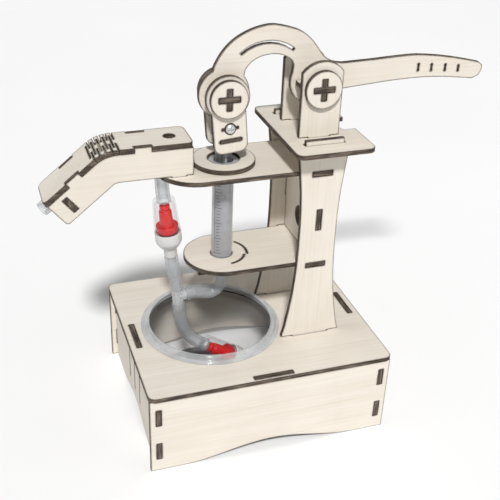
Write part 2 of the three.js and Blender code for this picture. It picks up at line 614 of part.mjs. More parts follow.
function spoutStrip() {
  const wide = SPOUT_Y.strip;
  const profile = [
    [SPOUT.right, SPOUT.top],
    ...arc(SPOUT.bendX, bendZ, SPOUT.bendR, Math.PI / 2, Math.PI / 2 + SPOUT.bend, 3),
    slopedPoint(SPOUT.sloped, 0), slopedPoint(SPOUT.sloped, PLY),
    ...arc(SPOUT.bendX, bendZ, SPOUT.bendR - PLY, Math.PI / 2 + SPOUT.bend, Math.PI / 2, 3),
    [SPOUT.right, SPOUT.top - PLY],
  ];
  const roundHole = cylinder(SPOUT_HOLE.r, SPOUT.top - 5, SPOUT.top + 2);
  const cutters = [toSolid(roundHole.translate(SPOUT_HOLE.x, 0, 0))];
  for (let row = 0; row < SLITS.rows; row += 1) {
    const at = SLITS.first + row * SLITS.pitch;
    const half = SLITS.width / 2;
    if (row % 2 === 0) {
      cutters.push(stripCutter(at, half, SLITS.bridge, wide + 1));
      cutters.push(stripCutter(at, half, -wide - 1, -SLITS.bridge));
    } else {
      cutters.push(stripCutter(at, half, -SLITS.middle, SLITS.middle));
    }
  }
  const bendLength = SPOUT.bend * SPOUT.bendR;
  const tabs = [
    SPOUT_TABS.flat.map((x) => SPOUT.bendX - x),
    SPOUT_TABS.sloped.map((along) => bendLength + along),
  ];
  for (const [from, to] of tabs) {
    const half = Math.abs(to - from) / 2 + GAP;
    cutters.push(stripCutter((from + to) / 2, half, SPOUT_Y.inner - GAP, wide + 1));
    cutters.push(stripCutter((from + to) / 2, half, -wide - 1, -SPOUT_Y.inner + GAP));
  }
  const bar = toSolid(extrude(profile, 2 * wide).rotateX(Math.PI / 2).translate(0, wide, 0));
  const [endX] = slopedPoint(SPOUT.sloped, 0);
  const block = extrude(roundedBox(endX, -wide, SPOUT.right, wide, 4), 60);
  const plan = toSolid(block.translate(0, 0, SPOUT.top - 55));
  const strip = cutters.reduce((solid, cutter) => solid.subtract(cutter), bar.intersect(plan));
  addMesh(model, 'spout_top_strip', toGeometry(strip), plywood);
}

function spoutBulkhead() {
  const { at, tabFrom, tabTo } = BULKHEAD;
  const inner = SPOUT_Y.inner - GAP;
  const high = -PLY - GAP;
  const r = HOSE.r + GAP;
  const rightEdge = [[inner, -SPOUT_DEPTH + 0.6], [inner, -tabTo], [SPOUT_Y.outer, -tabTo],
    [SPOUT_Y.outer, -tabFrom], [inner, -tabFrom], [inner, high], [r, high]];
  const leftEdge = rightEdge.map(([y, z]) => [-y, z]).reverse();
  const notch = arc(0, -NOZZLE.depth, r, 0, -Math.PI, 15);
  const [x, z] = slopedPoint(at, 0);
  const holder = addGroup(x, z, -SPOUT.bend);
  sideSheet(holder, 'spout_bulkhead', sheet([...rightEdge, ...notch, ...leftEdge]), -PLY / 2);
}

frontSheet(model, 'spout_front_side', spoutSide(), -SPOUT_Y.outer);
frontSheet(model, 'spout_back_side', spoutSide(), SPOUT_Y.inner);
spoutStrip();
spoutBulkhead();

// ---------------------------------------------------------------- tee, valves and hoses
function teeFitting(parent) {
  const { r, barb, bore, arm, shoulder } = TEE;
  const profile = [
    [0, 0], [r, 0], [r, shoulder], [barb, shoulder + 0.2], [barb, arm - 1], [barb - 0.5, arm], [0, arm],
  ];
  const armSolid = () => revolve(profile, 16);
  const solid = toSolid(armSolid()).add(toSolid(armSolid().rotateX(Math.PI)))
    .add(toSolid(armSolid().rotateY(Math.PI / 2)))
    .subtract(toSolid(cylinder(bore, -arm - 2, arm + 2, 12)))
    .subtract(toSolid(cylinder(bore, 0, arm + 2, 12).rotateY(Math.PI / 2)));
  addMesh(parent, 'tee_fitting', toGeometry(solid), clearPlastic);
}

// A check valve: white base with a hose barb, red poppet on its seat, clear housing around it.
function checkValve({ x, z, lean }, prefix) {
  const parent = addGroup(x, z, lean);
  const { barb, collar, cupTop, housingTop, hoseEnd } = VALVE;
  const bore = 1.7;
  const neck = HOSE.bore - GAP;
  addMesh(parent, `${prefix}_base`, revolve([
    [bore, barb], [neck - 0.5, barb], [neck, barb + 1.2], [neck, collar], [4.2, collar], [4.5, -1],
    [5.5, -0.6],
    [6.6, 0.4], [8.6, 3.6], [8.8, 5], [8.8, cupTop], [7.6, cupTop], [7.6, cupTop - 2], [bore, cupTop - 2],
  ], 20), whitePlastic);
  const seat = cupTop - 2 + GAP;
  addMesh(parent, `${prefix}_poppet`, revolve([
    [0, seat], [5, seat], [7, cupTop + 0.6], [7.4, cupTop + 5], [6.8, cupTop + 5.2], [4.7, cupTop + 4.4],
    [4.1, cupTop + 15.4], [3, cupTop + 15.8], [3, cupTop + 16.8], [3.5, cupTop + 17.2], [3.3, hoseEnd - 2.4],
    [0, hoseEnd - 2.4],
  ], 18), redPlastic);
  addMesh(parent, `${prefix}_housing`, revolve([
    [7.9, cupTop + GAP], [8.7, cupTop + GAP], [8.7, cupTop + 3], [7.7, hoseEnd - 2], [7.4, housingTop - 1],
    [6.4, housingTop], [HOSE.r + GAP, housingTop], [HOSE.r + GAP, hoseEnd - 0.5], [6.7, hoseEnd - 1.6],
    [7.9, cupTop + 3],
  ], 20), clearPlastic);
}

teeFitting(addGroup(TEE.x, TEE.z, TEE.lean));
checkValve(DELIVERY, 'valve_1');
checkValve(SUCTION, 'valve_2');

// A point in a leaning part: `up` along its axis and `out` square to it.
function leaning({ x, z, lean }, up, out = 0) {
  const c = Math.cos(lean);
  const s = Math.sin(lean);
  return [x + up * s + out * c, z + up * c - out * s];
}

function hose(name, points, steps) {
  const path = new THREE.CatmullRomCurve3(points.map(([x, z]) => new THREE.Vector3(x, 0, z)));
  const step = 360 / HOSE.sides;
  const ring = (r) => circle(0, 0, r, step).map(([x, y]) => new THREE.Vector2(x, y));
  const section = new THREE.Shape(ring(HOSE.r));
  section.holes.push(new THREE.Path(ring(HOSE.bore).reverse()));
  const geometry = new THREE.ExtrudeGeometry(section, { steps, extrudePath: path, bevelEnabled: false });
  addMesh(model, name, geometry, hosePlastic);
}

const hoseStart = TEE.shoulder + 0.2 + GAP;
hose('riser_hose', [
  leaning(TEE, hoseStart), leaning(TEE, TEE.arm), [-49.6, 109], leaning(DELIVERY, -14),
  leaning(DELIVERY, VALVE.collar - GAP),
], 8);
hose('suction_hose', [
  leaning(TEE, -hoseStart), leaning(TEE, -TEE.arm), [-45.3, 70], [-42.6, 61], [-37.4, 52.6],
  leaning(SUCTION, VALVE.hoseEnd + 3.5), leaning(SUCTION, VALVE.hoseEnd),
], 12);
hose('branch_hose', [
  leaning(TEE, 0, hoseStart), leaning(TEE, 0, TEE.arm), [-29.4, 89.7], [-24.4, 89.2], [-20.2, 91],
  [-17.6, 95.2], [SYRINGE_X, 101.6], [SYRINGE_X, BARREL.bottom - GAP],
], 12);
hose('delivery_hose', [
  leaning(DELIVERY, VALVE.hoseEnd), leaning(DELIVERY, VALVE.hoseEnd + 9), [-57.2, 180], [-58.4, 188],
  [-62, 194.6], [-68, 198.6], [-75, 199.4], [-81, 199.4], bendPoint(0, NOZZLE.depth),
  bendPoint(SPOUT.bend / 2, NOZZLE.depth), bendPoint(SPOUT.bend, NOZZLE.depth), slopedPoint(10, NOZZLE.depth),
  slopedPoint(28, NOZZLE.depth), slopedPoint(SPOUT.sloped + NOZZLE.proud, NOZZLE.depth),
], 26);

// ---------------------------------------------------------------- origin under the middle
const outlineBox = new THREE.Box3().setFromObject(model, true);
model.position.x = -(outlineBox.min.x + outlineBox.max.x) / 2;

export default model;
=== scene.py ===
"""Looks for the hand-lever water pump kit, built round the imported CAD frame. Metres, Z up."""
import json
import math

import bmesh
import bpy
from mathutils import Matrix, Vector


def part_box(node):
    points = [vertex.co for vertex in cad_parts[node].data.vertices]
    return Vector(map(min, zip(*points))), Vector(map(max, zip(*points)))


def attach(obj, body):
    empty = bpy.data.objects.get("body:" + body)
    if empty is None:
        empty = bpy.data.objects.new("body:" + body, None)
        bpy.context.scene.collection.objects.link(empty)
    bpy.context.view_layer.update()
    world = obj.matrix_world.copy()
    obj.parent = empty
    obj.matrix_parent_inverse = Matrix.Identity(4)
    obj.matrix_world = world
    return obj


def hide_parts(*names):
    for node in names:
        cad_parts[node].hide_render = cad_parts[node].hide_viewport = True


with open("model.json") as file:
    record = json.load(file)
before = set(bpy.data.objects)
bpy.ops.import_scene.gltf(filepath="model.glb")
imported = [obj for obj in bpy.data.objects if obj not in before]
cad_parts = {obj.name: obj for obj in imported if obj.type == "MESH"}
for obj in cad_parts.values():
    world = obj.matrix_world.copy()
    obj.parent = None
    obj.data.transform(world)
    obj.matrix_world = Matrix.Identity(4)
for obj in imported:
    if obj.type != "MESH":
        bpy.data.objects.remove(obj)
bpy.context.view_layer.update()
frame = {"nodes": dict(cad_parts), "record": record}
MM = 0.001

# The frame's x is measured from the middle of the whole outline; the part's drawing is
# measured from the middle of the base box.
low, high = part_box("base_top_plate")
BASE_X = (low.x + high.x) / 2


def at(x, y, z):
    """A point of the drawing, in millimetres from the middle of the base box, in the frame."""
    return Vector((x * MM + BASE_X, y * MM, z * MM))


# ---------------------------------------------------------------- camera
CAMERA = {"azimuth": 18.12, "elevation": 30.46, "roll": 1.47, "distance": 606.29,
          "target": (-8.11, 14.39, 108.9), "lens": 62.56, "shift": (0.0466, 0.0064)}


def add_camera():
    """The photograph's camera: a bearing round the object, and lens and shift for its framing."""
    azimuth = math.radians(CAMERA["azimuth"])
    elevation = math.radians(CAMERA["elevation"])
    roll = math.radians(CAMERA["roll"])
    back = Vector((-math.sin(azimuth) * math.cos(elevation),
                   -math.cos(azimuth) * math.cos(elevation), math.sin(elevation)))
    level = Vector((math.cos(azimuth), -math.sin(azimuth), 0))
    upright = back.cross(level)
    right = math.cos(roll) * level + math.sin(roll) * upright
    up = -math.sin(roll) * level + math.cos(roll) * upright
    data = bpy.data.cameras.new("camera")
    data.sensor_width = 36
    data.lens = CAMERA["lens"]
    data.shift_x, data.shift_y = CAMERA["shift"]
    data.clip_start = 0.01
    data.clip_end = 20
    camera = bpy.data.objects.new("camera", data)
    bpy.context.scene.collection.objects.link(camera)
    turn = Matrix((right, up, back)).transposed().to_4x4()
    place = at(*CAMERA["target"]) + back * CAMERA["distance"] * MM
    camera.matrix_world = Matrix.Translation(place) @ turn
    bpy.context.scene.camera = camera


add_camera()


# ---------------------------------------------------------------- node materials
# A cut shows where the rounded normal leaves the flat one: the dot product of the two, from
# the first faint scorch to fully charred.
CUT_FAINT, CUT_FULL = 0.9985, 0.965
CUT_REACH = 0.0015  # how far the char line runs in from a cut, metres
BEVEL_SAMPLES = 6


class Shader:
    """A node material with a Principled surface, and short ways to add nodes to it.

    Where a method takes a value, it is a number, a colour of three numbers or another
    node's output.
    """

    def __init__(self, name, **values):
        self.material = bpy.data.materials.new(name)
        self.material.use_nodes = True
        self.nodes = self.material.node_tree.nodes
        self.links = self.material.node_tree.links
        self.surface = self.nodes["Principled BSDF"]
        for socket, value in values.items():
            self.surface.inputs[socket.replace("_", " ")].default_value = value

    def link(self, source, target):
        self.links.new(source, target)

    def feed(self, value, target):
        """Sets a socket to a number or colour, or links a node's output to it."""
        if isinstance(value, (int, float)):
            target.default_value = value
        elif isinstance(value, tuple):
            target.default_value = (*value, 1)
        else:
            self.link(value, target)

    def coordinates(self, scale):
        place = self.nodes.new("ShaderNodeTexCoord")
        mapping = self.nodes.new("ShaderNodeMapping")
        mapping.inputs["Scale"].default_value = scale
        self.link(place.outputs["Object"], mapping.inputs["Vector"])
        return mapping.outputs["Vector"]

    def noise(self, scale, detail=3.0, roughness=0.5, distortion=0.0):
        node = self.nodes.new("ShaderNodeTexNoise")
        node.inputs["Scale"].default_value = 1.0
        node.inputs["Detail"].default_value = detail
        node.inputs["Roughness"].default_value = roughness
        node.inputs["Distortion"].default_value = distortion
        self.link(self.coordinates(scale), node.inputs["Vector"])
        return node.outputs["Fac"]

    def ramp(self, factor, stops):
        node = self.nodes.new("ShaderNodeValToRGB")
        elements = node.color_ramp.elements
        while len(elements) < len(stops):
            elements.new(0.5)
        for element, (position, color) in zip(elements, stops):
            element.position = position
            element.color = (*color, 1)
        self.link(factor, node.inputs["Fac"])
        return node.outputs["Color"]

    def mix(self, factor, first, second, blend="MIX"):
        node = self.nodes.new("ShaderNodeMix")
        node.data_type = "RGBA"
        node.blend_type = blend
        # the node has a socket of each name for every data type, so they go by identifier
        sockets = {socket.identifier: socket for socket in node.inputs}
        self.feed(factor, sockets["Factor_Float"])
        self.feed(first, sockets["A_Color"])
        self.feed(second, sockets["B_Color"])
        return next(socket for socket in node.outputs if socket.identifier == "Result_Color")

    def span(self, factor, low_value, high_value):
        """`factor`, from 0 to 1, stretched to run from `low_value` to `high_value`."""
        node = self.nodes.new("ShaderNodeMapRange")
        node.inputs["To Min"].default_value = low_value
        node.inputs["To Max"].default_value = high_value
        self.link(factor, node.inputs["Value"])
        return node.outputs["Result"]

    def math(self, operation, first, second):
        node = self.nodes.new("ShaderNodeMath")
        node.operation = operation
        self.feed(first, node.inputs[0])
        self.feed(second, node.inputs[1])
        return node.outputs["Value"]

    def near_cut(self, reach):
        """1 beside a sharp edge of the piece, falling to 0 at about `reach` from it."""
        rounded = self.nodes.new("ShaderNodeBevel")
        rounded.samples = BEVEL_SAMPLES
        rounded.inputs["Radius"].default_value = reach
        flat = self.nodes.new("ShaderNodeNewGeometry")
        product = self.nodes.new("ShaderNodeVectorMath")
        product.operation = "DOT_PRODUCT"
        self.link(rounded.outputs["Normal"], product.inputs[0])
        self.link(flat.outputs["True Normal"], product.inputs[1])
        node = self.nodes.new("ShaderNodeMapRange")
        node.inputs["From Min"].default_value = CUT_FAINT
        node.inputs["From Max"].default_value = CUT_FULL
        self.link(product.outputs["Value"], node.inputs["Value"])
        return node.outputs["Result"]

    def bump(self, height, distance, strength=0.5):
        node = self.nodes.new("ShaderNodeBump")
        node.inputs["Strength"].default_value = strength
        node.inputs["Distance"].default_value = distance
        self.link(height, node.inputs["Height"])
        self.link(node.outputs["Normal"], self.surface.inputs["Normal"])


# Ramps, as (position, colour) stops. WHITE_OUT leaves what it multiplies as it is.
WHITE_OUT = (1.0, 1.0, 1.0)
GRAIN_TONES = [(0.25, (0.645, 0.59, 0.51)), (0.5, (0.695, 0.645, 0.57)),
               (0.8, (0.74, 0.695, 0.625))]
BAND_TONES = [(0.3, (0.9, 0.88, 0.85)), (0.7, WHITE_OUT)]
STAIN_TONES = [(0.35, (0.93, 0.925, 0.915)), (0.6, WHITE_OUT)]
PORE_TONES = [(0.2, (0.62, 0.52, 0.4)), (0.32, WHITE_OUT)]
BURN_TONES = [(0.35, (0.03, 0.022, 0.016)), (0.6, (0.07, 0.052, 0.038)), (0.78, (0.2, 0.16, 0.12))]
LINE_TONES = [(0.35, (0.022, 0.016, 0.012)), (0.6, (0.06, 0.045, 0.034)), (0.78, (0.16, 0.13, 0.1))]
PLY_TONES = [(0.32, (0.030, 0.021, 0.015)), (0.5, (0.085, 0.062, 0.045)),
             (0.68, (0.20, 0.155, 0.115))]
SOOT_TONES = [(0.38, (0.42, 0.40, 0.38)), (0.62, WHITE_OUT)]


def even(scale):
    """Noise scale that is the same along all axes."""
    return (scale, scale, scale)


def stretched(axis, along, across):
    """Noise scale with long streaks along one axis."""
    return tuple(along if i == axis else across for i in range(3))


def plywood_face(axis):
    """Pale veneer with grain along one axis, faint bands, darker pores and charred borders."""
    s = Shader("plywood_face_" + "xyz"[axis], Roughness=0.72)
    grain = s.noise(stretched(axis, 14, 900), detail=4, roughness=0.6, distortion=0.4)
    colour = s.ramp(grain, GRAIN_TONES)
    bands = s.noise(stretched(axis, 5, 60), detail=2, distortion=0.8)
    colour = s.mix(0.6, colour, s.ramp(bands, BAND_TONES), "MULTIPLY")
    stain = s.noise(even(22), detail=3, roughness=0.6)
    colour = s.mix(0.7, colour, s.ramp(stain, STAIN_TONES), "MULTIPLY")
    pores = s.noise(stretched(axis, 120, 2600), detail=2)
    colour = s.mix(0.3, colour, s.ramp(pores, PORE_TONES), "MULTIPLY")
    burn = s.noise(even(420), detail=3)
    colour = s.mix(s.near_cut(CUT_REACH), colour, s.ramp(burn, BURN_TONES))
    s.link(colour, s.surface.inputs["Base Color"])
    s.link(s.span(grain, 0.62, 0.82), s.surface.inputs["Roughness"])
    s.bump(grain, 0.00006, 0.35)
    return s.material


def scorched_edge(axis):
    """A laser-cut edge: charred brown, with the glue lines of the plies running along it."""
    s = Shader("scorched_edge_" + "xyz"[axis], Roughness=0.85)
    plies = s.noise(stretched(axis, 900, 60), detail=3, roughness=0.55)
    soot = s.noise(even(130), detail=4)
    colour = s.mix(0.85, s.ramp(plies, PLY_TONES), s.ramp(soot, SOOT_TONES), "MULTIPLY")
    s.link(colour, s.surface.inputs["Base Color"])
    s.bump(plies, 0.0001, 0.5)
    return s.material


def charred_line():
    """The bevel between face and edge: nearly black, with paler breaks."""
    s = Shader("charred_line", Roughness=0.9)
    burn = s.noise(even(420), detail=3)
    s.link(s.ramp(burn, LINE_TONES), s.surface.inputs["Base Color"])
    s.bump(burn, 0.00005, 0.4)
    return s.material


def clear_plastic(name, colour, alpha, roughness=0.12, cloud=0.06):
    """Clear plastic that is denser where it is seen along its wall, with clouding and gloss.

    `alpha` is how dense it is face on, and `cloud` how much darker its clouding gets.
    """
    s = Shader(name, Roughness=roughness, IOR=1.45, Alpha=alpha)
    s.surface.inputs["Coat Weight"].default_value = 0.6
    s.surface.inputs["Coat Roughness"].default_value = 0.06
    haze = s.noise((90, 90, 140), detail=3)
    darker = tuple(max(c - cloud, 0) for c in colour)
    s.link(s.ramp(haze, [(0.3, darker), (0.7, colour)]), s.surface.inputs["Base Color"])
    edge = s.nodes.new("ShaderNodeLayerWeight")
    edge.inputs["Blend"].default_value = 0.35
    along_wall = s.math("MULTIPLY", edge.outputs["Facing"], min(0.75, alpha * 1.6 + 0.15))
    face_on = s.span(haze, alpha * 0.85, alpha * 1.15)
    density = s.math("MINIMUM", s.math("ADD", face_on, along_wall), 0.97)
    s.link(density, s.surface.inputs["Alpha"])
    marks = s.noise((500, 500, 160), detail=2)
    s.bump(marks, 0.00005, 0.25)
    return s.material


def solid_plastic(name, colour, roughness=0.35):
    """Moulded plastic with a fine matt grain and slight tone change."""
    s = Shader(name, Roughness=roughness)
    s.surface.inputs["Coat Weight"].default_value = 0.25
    tone = s.noise(even(110), detail=3)
    darker = tuple(c * 0.86 for c in colour)
    s.link(s.ramp(tone, [(0.3, darker), (0.7, colour)]), s.surface.inputs["Base Color"])
    s.link(s.span(tone, roughness * 0.85, roughness * 1.2), s.surface.inputs["Roughness"])
    grain = s.noise(even(2200), detail=2)
    s.bump(grain, 0.00003, 0.3)
    return s.material


def plated_steel():
    """Dull zinc plating with faint turning marks."""
    s = Shader("plated_steel", Metallic=0.75, Roughness=0.4)
    marks = s.noise((300, 300, 2500), detail=3)
    plating = s.ramp(marks, [(0.3, (0.5, 0.5, 0.51)), (0.7, (0.72, 0.72, 0.73))])
    s.link(plating, s.surface.inputs["Base Color"])
    s.link(s.span(marks, 0.34, 0.5), s.surface.inputs["Roughness"])
    return s.material


X, Y, Z = 0, 1, 2
FACE = {axis: plywood_face(axis) for axis in (X, Y, Z)}
EDGE = {axis: scorched_edge(axis) for axis in (X, Y, Z)}
CHAR = charred_line()
BOWL_WALL = clear_plastic("bowl_wall", (0.4, 0.42, 0.43), 0.04, 0.06, 0.1)
# painted shade: a dark, dense band at the plate, standing in for the plate's shadow and the
# scorched hole edge seen behind the neck
BOWL_NECK_SHADE = clear_plastic("bowl_neck_painted_shade", (0.13, 0.135, 0.14), 0.13, 0.06, 0.06)
# the rim is paler and denser: partly its thicker plastic, partly a painted light band standing in
# for its highlights
BOWL_RIM_LIGHT_BAND = clear_plastic("bowl_rim_with_painted_light", (0.7, 0.715, 0.72), 0.42, 0.07, 0.2)
# painted shade: the floor is dense dark grey, standing in for the dark, shaded ground seen through
# it
BOWL_FLOOR_SHADE = clear_plastic("bowl_floor_painted_shade", (0.12, 0.125, 0.135), 0.58, 0.08, 0.04)
BARREL = clear_plastic("barrel_clear", (0.5, 0.51, 0.53), 0.36, 0.2)
ROD = clear_plastic("rod_natural", (0.5, 0.51, 0.53), 0.55, 0.3)
HOSE = clear_plastic("hose_clear", (0.52, 0.54, 0.56), 0.22, 0.08, 0.14)
FITTING = clear_plastic("fitting_clear", (0.72, 0.74, 0.75), 0.24, 0.06)
HOUSING = clear_plastic("housing_clear", (0.24, 0.15, 0.17), 0.03, 0.05)
RED = solid_plastic("valve_red", (0.66, 0.008, 0.006), 0.28)
WHITE = solid_plastic("valve_white", (0.58, 0.57, 0.56), 0.35)
RUBBER = solid_plastic("seal_black", (0.02, 0.02, 0.021), 0.55)
INK = solid_plastic("printed_marks", (0.03, 0.03, 0.035), 0.5)
STEEL = plated_steel()


def add_piece(name, mesh, body, materials, replaces=()):
    """Puts a mesh in the scene as a piece that rides on a body and stands for CAD nodes."""
    piece = bpy.data.objects.new(name, mesh)
    bpy.context.scene.collection.objects.link(piece)
    for material in materials:
        mesh.materials.append(material)
    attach(piece, body)
    if replaces:
        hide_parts(*replaces)
    return piece


def body_of(node):
    """The name of the body that a CAD node belongs to."""
    bodies = frame["record"]["behaviour"]["bodies"]
    return next(name for name, members in bodies.items() if node in members)


def add_bevel(piece, width, segments=1, material=-1):
    """Bevels a piece's sharp edges by `width` mm; material -1 keeps the neighbouring face's."""
    bevel = piece.modifiers.new("bevel", "BEVEL")
    bevel.width = width * MM
    bevel.segments = segments
    bevel.limit_method = "ANGLE"
    bevel.angle_limit = math.radians(40)
    bevel.material = material
    bevel.harden_normals = True


# ---------------------------------------------------------------- plywood sheets
WELD = 2e-6  # vertices nearer than this are one, metres
COPLANAR = math.radians(0.6)
FACE_SLOT, EDGE_SLOT, CHAR_SLOT = 0, 1, 2
CHAR_WIDTH = 0.15  # mm


def cleaned_copy(node):
    """The node's own shape with its coplanar triangles joined into whole faces."""
    work = bmesh.new()
    work.from_mesh(frame["nodes"][node].data)
    bmesh.ops.remove_doubles(work, verts=work.verts, dist=WELD)
    bmesh.ops.dissolve_limit(work, angle_limit=COPLANAR, verts=work.verts, edges=work.edges)
    work.normal_update()
    return work


def main_normal(work):
    """The direction that most of the surface faces: the sheet's own normal."""
    groups = {}
    for face in work.faces:
        n = face.normal
        sign = 1 if max(n, key=abs) > 0 else -1
        key = tuple(round(sign * c, 2) for c in n)
        groups[key] = groups.get(key, 0) + face.calc_area()
    return Vector(max(groups, key=groups.get)).normalized()


def add_sheet(node, grain, is_face=None):
    """A plywood sheet: veneer on its faces, scorched edges, and a scorch line round each cut.

    `grain` is the axis that the veneer's grain follows. `is_face` tells the veneer from the
    cut edges where the sheet isn't flat.
    """
    work = cleaned_copy(node)
    normal = main_normal(work)
    for face in work.faces:
        flat = is_face(face) if is_face else abs(face.normal.dot(normal)) > 0.95
        face.material_index = FACE_SLOT if flat else EDGE_SLOT
        face.smooth = True
    mesh = bpy.data.meshes.new(node + "_wood")
    work.to_mesh(mesh)
    work.free()
    mesh.set_sharp_from_angle(angle=math.radians(32))
    across = max(range(3), key=lambda i: abs(normal[i]))
    piece = add_piece(node + "_wood", mesh, body_of(node),
                      [FACE[grain], EDGE[across], CHAR], [node])
    add_bevel(piece, CHAR_WIDTH, material=CHAR_SLOT)


SHEETS = {  # each flat sheet, with the axis that its grain follows
    "base_top_plate": X, "base_front_panel": X, "base_back_panel": X, "base_left_wall": Y,
    "base_right_wall": Y, "column_front_plate": Z, "column_back_plate": Z,
    "column_cross_plate": Z, "lower_shelf": X, "upper_shelf": X, "column_top_plate": X,
    "front_ear": Z, "back_ear": Z, "syringe_collar_ring": X, "lever": X,
    "fulcrum_axle_upright": Y, "fulcrum_axle_level": Y, "fulcrum_cap_front": Z,
    "fulcrum_cap_back": Z, "pin_axle_upright": Y, "pin_axle_level": Y, "pin_cap_front": Z,
    "pin_cap_back": Z, "clevis_front_plate": Z, "clevis_back_plate": Z, "clevis_strip": X,
    "spout_front_side": X, "spout_back_side": X, "spout_bulkhead": Y,
}
for sheet_node, sheet_grain in SHEETS.items():
    add_sheet(sheet_node, sheet_grain)

# The spout's bent strip: flat, then a bend about the Y axis, then a straight slope, in mm.
SPOUT = {"bend_x": -87, "top": 207.4, "bend": math.radians(39), "radius": 24}


def strip_normal(point):
    """The bent strip's own normal near a point of the frame."""
    from_x = SPOUT["bend_x"] - (point.x - BASE_X) / MM
    rise = point.z / MM - (SPOUT["top"] - SPOUT["radius"])
    turn = min(max(math.atan2(from_x, rise), 0), SPOUT["bend"])
    return Vector((-math.sin(turn), 0, math.cos(turn)))


add_sheet("spout_top_strip", X,
          lambda face: abs(face.normal.dot(strip_normal(face.calc_center_median()))) > 0.97)


# ---------------------------------------------------------------- round pieces
# A profile is a list of [radius, height] points in mm, closed from the last to the first.
ON_AXIS = 1e-6


def softened(profile, radius, steps=3):
    """A closed profile with each corner that is off the axis rounded by about `radius`."""
    points = [Vector(p) for p in profile]
    count = len(points)
    result = []
    for i, corner in enumerate(points):
        before, after = points[i - 1], points[(i + 1) % count]
        if corner.x < ON_AXIS:
            result.append(corner)
            continue
        reach_in = min(radius, (before - corner).length * 0.45)
        reach_out = min(radius, (after - corner).length * 0.45)
        start = corner + (before - corner).normalized() * reach_in
        end = corner + (after - corner).normalized() * reach_out
        for k in range(steps + 1):
            t = k / steps
            result.append(start * (1 - t) ** 2 + corner * 2 * t * (1 - t) + end * t ** 2)
    return result


def revolved(name, profile, segments=64, place=Matrix.Identity(4)):
    """A closed surface of revolution about Z, moved to its place."""
    work = bmesh.new()
    rings = []
    for point in profile:
        if point[0] < ON_AXIS:
            rings.append([work.verts.new((0, 0, point[1] * MM))])
            continue
        ring = []
        for i in range(segments):
            angle = 2 * math.pi * i / segments
            ring.append(work.verts.new((point[0] * MM * math.cos(angle),
                                        point[0] * MM * math.sin(angle), point[1] * MM)))
        rings.append(ring)
    for i, ring in enumerate(rings):
        following = rings[(i + 1) % len(rings)]
        if len(ring) == 1 and len(following) == 1:
            continue
        for k in range(segments):
            n = (k + 1) % segments
            if len(ring) == 1:
                work.faces.new((ring[0], following[n], following[k]))
            elif len(following) == 1:
                work.faces.new((ring[k], ring[n], following[0]))
            else:
                work.faces.new((ring[k], ring[n], following[n], following[k]))
    bmesh.ops.recalc_face_normals(work, faces=work.faces)
    for face in work.faces:
        face.smooth = True
    work.transform(place)
    mesh = bpy.data.meshes.new(name)
    work.to_mesh(mesh)
    work.free()
    mesh.set_sharp_from_angle(angle=math.radians(50))
    return mesh


def leaning(x, z, lean):
    """Placement of an upright part that leans towards +X by `lean` about Y."""
    return Matrix.Translation(at(x, 0, z)) @ Matrix.Rotation(lean, 4, "Y")


# water bowl: it hangs by its rim on the base's top plate
PLATE_TOP = high.z / MM
bowl_low, bowl_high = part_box("water_bowl")
BOWL_MIDDLE = Vector(((bowl_low.x + bowl_high.x) / 2, (bowl_low.y + bowl_high.y) / 2, 0))
BOWL_FOOT, BOWL_FLOOR_TOP = 11.5, 13
NECK_R = 43.9  # outside, where it passes the plate
RIM_R, LIP_R, LIP_TOP = 48.7, 42.4, PLATE_TOP + 5.2
bowl_profile = softened([
    (0, BOWL_FOOT), (33, BOWL_FOOT), (36.6, 13.4), (42.8, PLATE_TOP - 7), (NECK_R, PLATE_TOP - 5),
    (NECK_R, PLATE_TOP + 0.3), (RIM_R, PLATE_TOP + 0.3), (RIM_R, PLATE_TOP + 1.3),
    (RIM_R - 0.5, PLATE_TOP + 2.0), (RIM_R - 1.5, PLATE_TOP + 2.4), (RIM_R - 2.0, PLATE_TOP + 2.2),
    (46.1, PLATE_TOP + 3.6), (45.4, LIP_TOP - 0.5), (44.2, LIP_TOP), (43, LIP_TOP - 0.5),
    (LIP_R, LIP_TOP - 1.5), (LIP_R, PLATE_TOP - 5), (LIP_R - 1, PLATE_TOP - 6.4), (36, 15.2),
    (33.5, BOWL_FLOOR_TOP), (0, BOWL_FLOOR_TOP),
], 0.6)
# The floor and the neck are dense and dark: painted shade, for the shaded ground seen through the
# floor and for the plate's shadow and scorched hole edge behind the neck. The rim is denser and
# paler than the wall: its thicker plastic, with a painted light band.
BOWL_MATERIALS = [BOWL_WALL, BOWL_NECK_SHADE, BOWL_RIM_LIGHT_BAND, BOWL_FLOOR_SHADE]
FLOOR_BELOW, WALL_BELOW = 15.3, PLATE_TOP - 6  # heights where the look changes


def bowl_material(face):
    """The place in BOWL_MATERIALS for a face of the bowl, by its height and radius."""
    height = face.center.z / MM
    radius = (face.center.xy - BOWL_MIDDLE.xy).length / MM
    # below this height the floor takes its painted shade
    if height < FLOOR_BELOW:
        return BOWL_MATERIALS.index(BOWL_FLOOR_SHADE)
    if height < WALL_BELOW:
        return BOWL_MATERIALS.index(BOWL_WALL)
    # the band at the plate and the inner lip take the neck's painted shade
    if radius < LIP_R + 0.2 or height < PLATE_TOP + 0.1:
        return BOWL_MATERIALS.index(BOWL_NECK_SHADE)
    return BOWL_MATERIALS.index(BOWL_RIM_LIGHT_BAND)


bowl_mesh = revolved("water_bowl_clear", bowl_profile, 96, Matrix.Translation(BOWL_MIDDLE))
for bowl_face in bowl_mesh.polygons:
    bowl_face.material_index = bowl_material(bowl_face)
add_piece("water_bowl_clear", bowl_mesh, "stand", BOWL_MATERIALS, ["water_bowl"])

